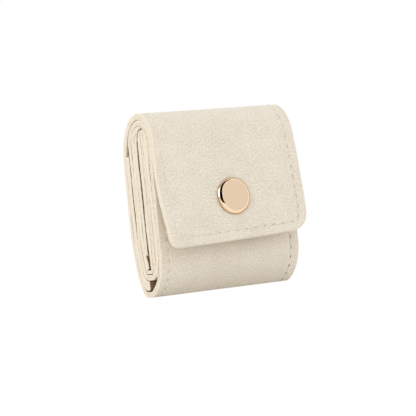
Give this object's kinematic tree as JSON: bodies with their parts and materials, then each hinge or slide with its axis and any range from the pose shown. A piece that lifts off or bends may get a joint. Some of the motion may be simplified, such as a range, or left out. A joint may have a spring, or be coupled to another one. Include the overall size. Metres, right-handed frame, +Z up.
{
  "type": "jewelry roll pouch",
  "caption": "Small suede jewelry pouch: one long strip rolled into a flat spiral with inner pocket sheets, closed by a flap over the front and a round metal snap.",
  "frame": {"origin": "middle of the bounding box's footprint, on the surface the pouch stands on", "axes": "X across the strip, -Y the front with the flap and snap, +Z up"},
  "size_m": [0.065, 0.035, 0.074],
  "materials": {
    "suede": "cream microfibre suede, fine short nap",
    "lining": "cream microfibre suede lining",
    "rose_gold": "polished rose gold plating on brass",
    "spring_steel": "drawn steel wire"
  },
  "bodies": {
    "roll": {"shell_body": "suede", "lining_body": "lining", "pocket_back": "lining", "pocket_front": "lining", "pocket_middle_outer": "lining", "pocket_middle_inner": "lining", "pocket_end": "lining", "snap_stud": "rose_gold", "snap_eyelet": "rose_gold"},
    "top_fold": {"shell_top_fold": "suede", "lining_top_fold": "lining"},
    "flap": {"shell_flap": "suede", "lining_flap": "lining", "snap_cap": "rose_gold", "snap_post": "rose_gold", "snap_socket": "rose_gold", "snap_spring": "spring_steel"}
  },
  "joints": [
    {"name": "fold_back", "type": "hinge", "parent": "roll", "child": "top_fold", "pos_m": [0, 0.01101, 0.07046], "axis": [-1, 0, 0], "range_deg": [0, 90]},
    {"name": "fold_front", "type": "hinge", "parent": "top_fold", "child": "flap", "pos_m": [0, -0.0061, 0.07046], "axis": [-1, 0, 0], "range_deg": [0, 90]}
  ],
  "couplings": [
    {"joint": "fold_back", "follows": "fold_front", "ratio": 1}
  ]
}
